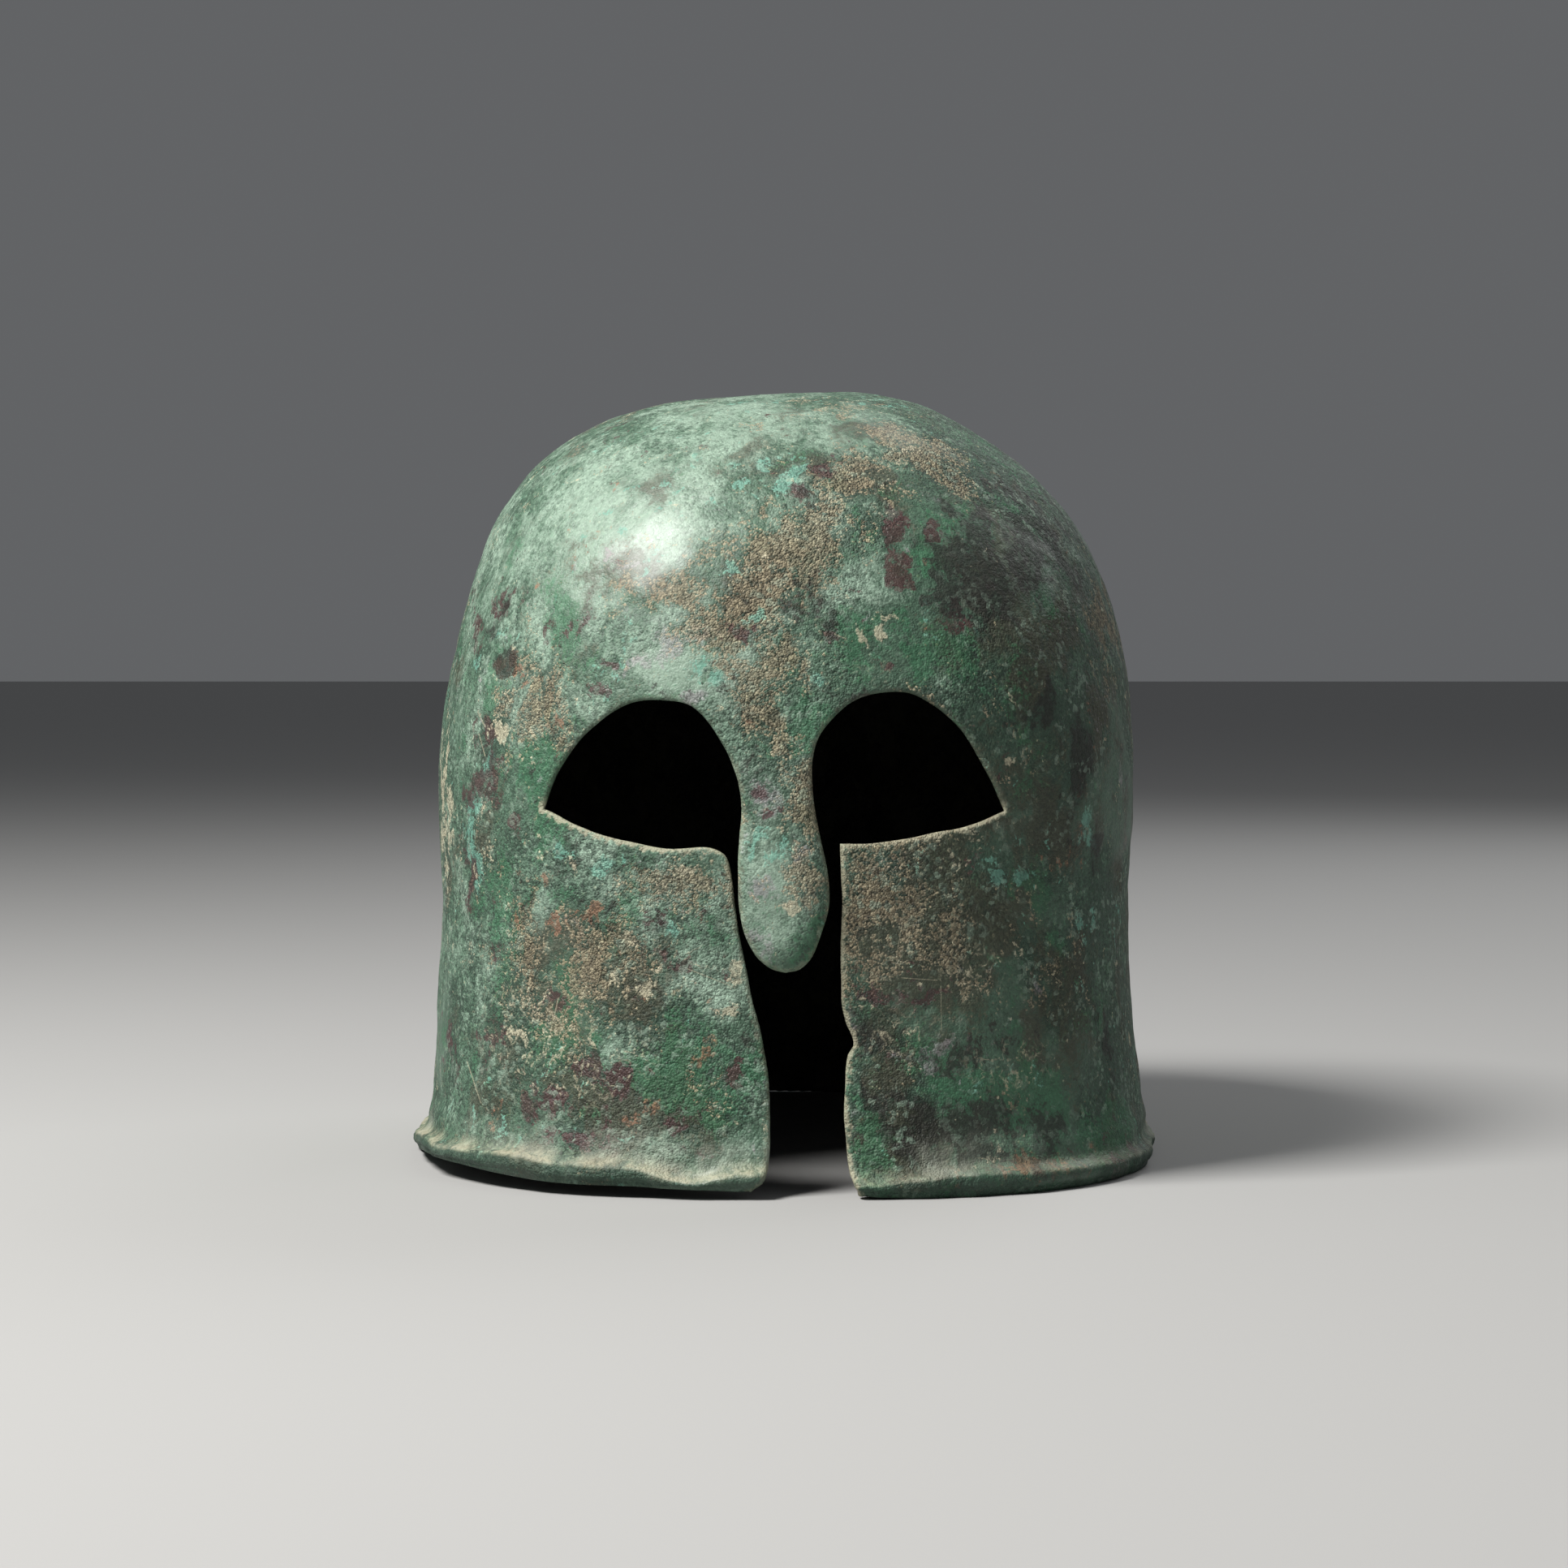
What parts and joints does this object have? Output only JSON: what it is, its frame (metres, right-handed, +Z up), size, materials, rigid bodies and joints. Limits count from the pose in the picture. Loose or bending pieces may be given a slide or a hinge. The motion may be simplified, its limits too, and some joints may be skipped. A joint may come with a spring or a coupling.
{
  "type": "corinthian helmet",
  "caption": "Full-face bronze helmet beaten from one sheet: domed crown, pointed eye openings, drop-shaped nasal, cheek pieces with a slot between, flared lip.",
  "frame": {"origin": "on the floor under the middle of the helmet's bounding box", "axes": "+Z up, the face looks towards -Y, +X is the right-hand side as seen from the front"},
  "size_m": [0.218, 0.26, 0.2218],
  "materials": {
    "patinated_bronze": "old bronze under green patina and sandy crust, half dull"
  },
  "bodies": {
    "root": {"helmet_shell": "patinated_bronze"}
  },
  "joints": []
}
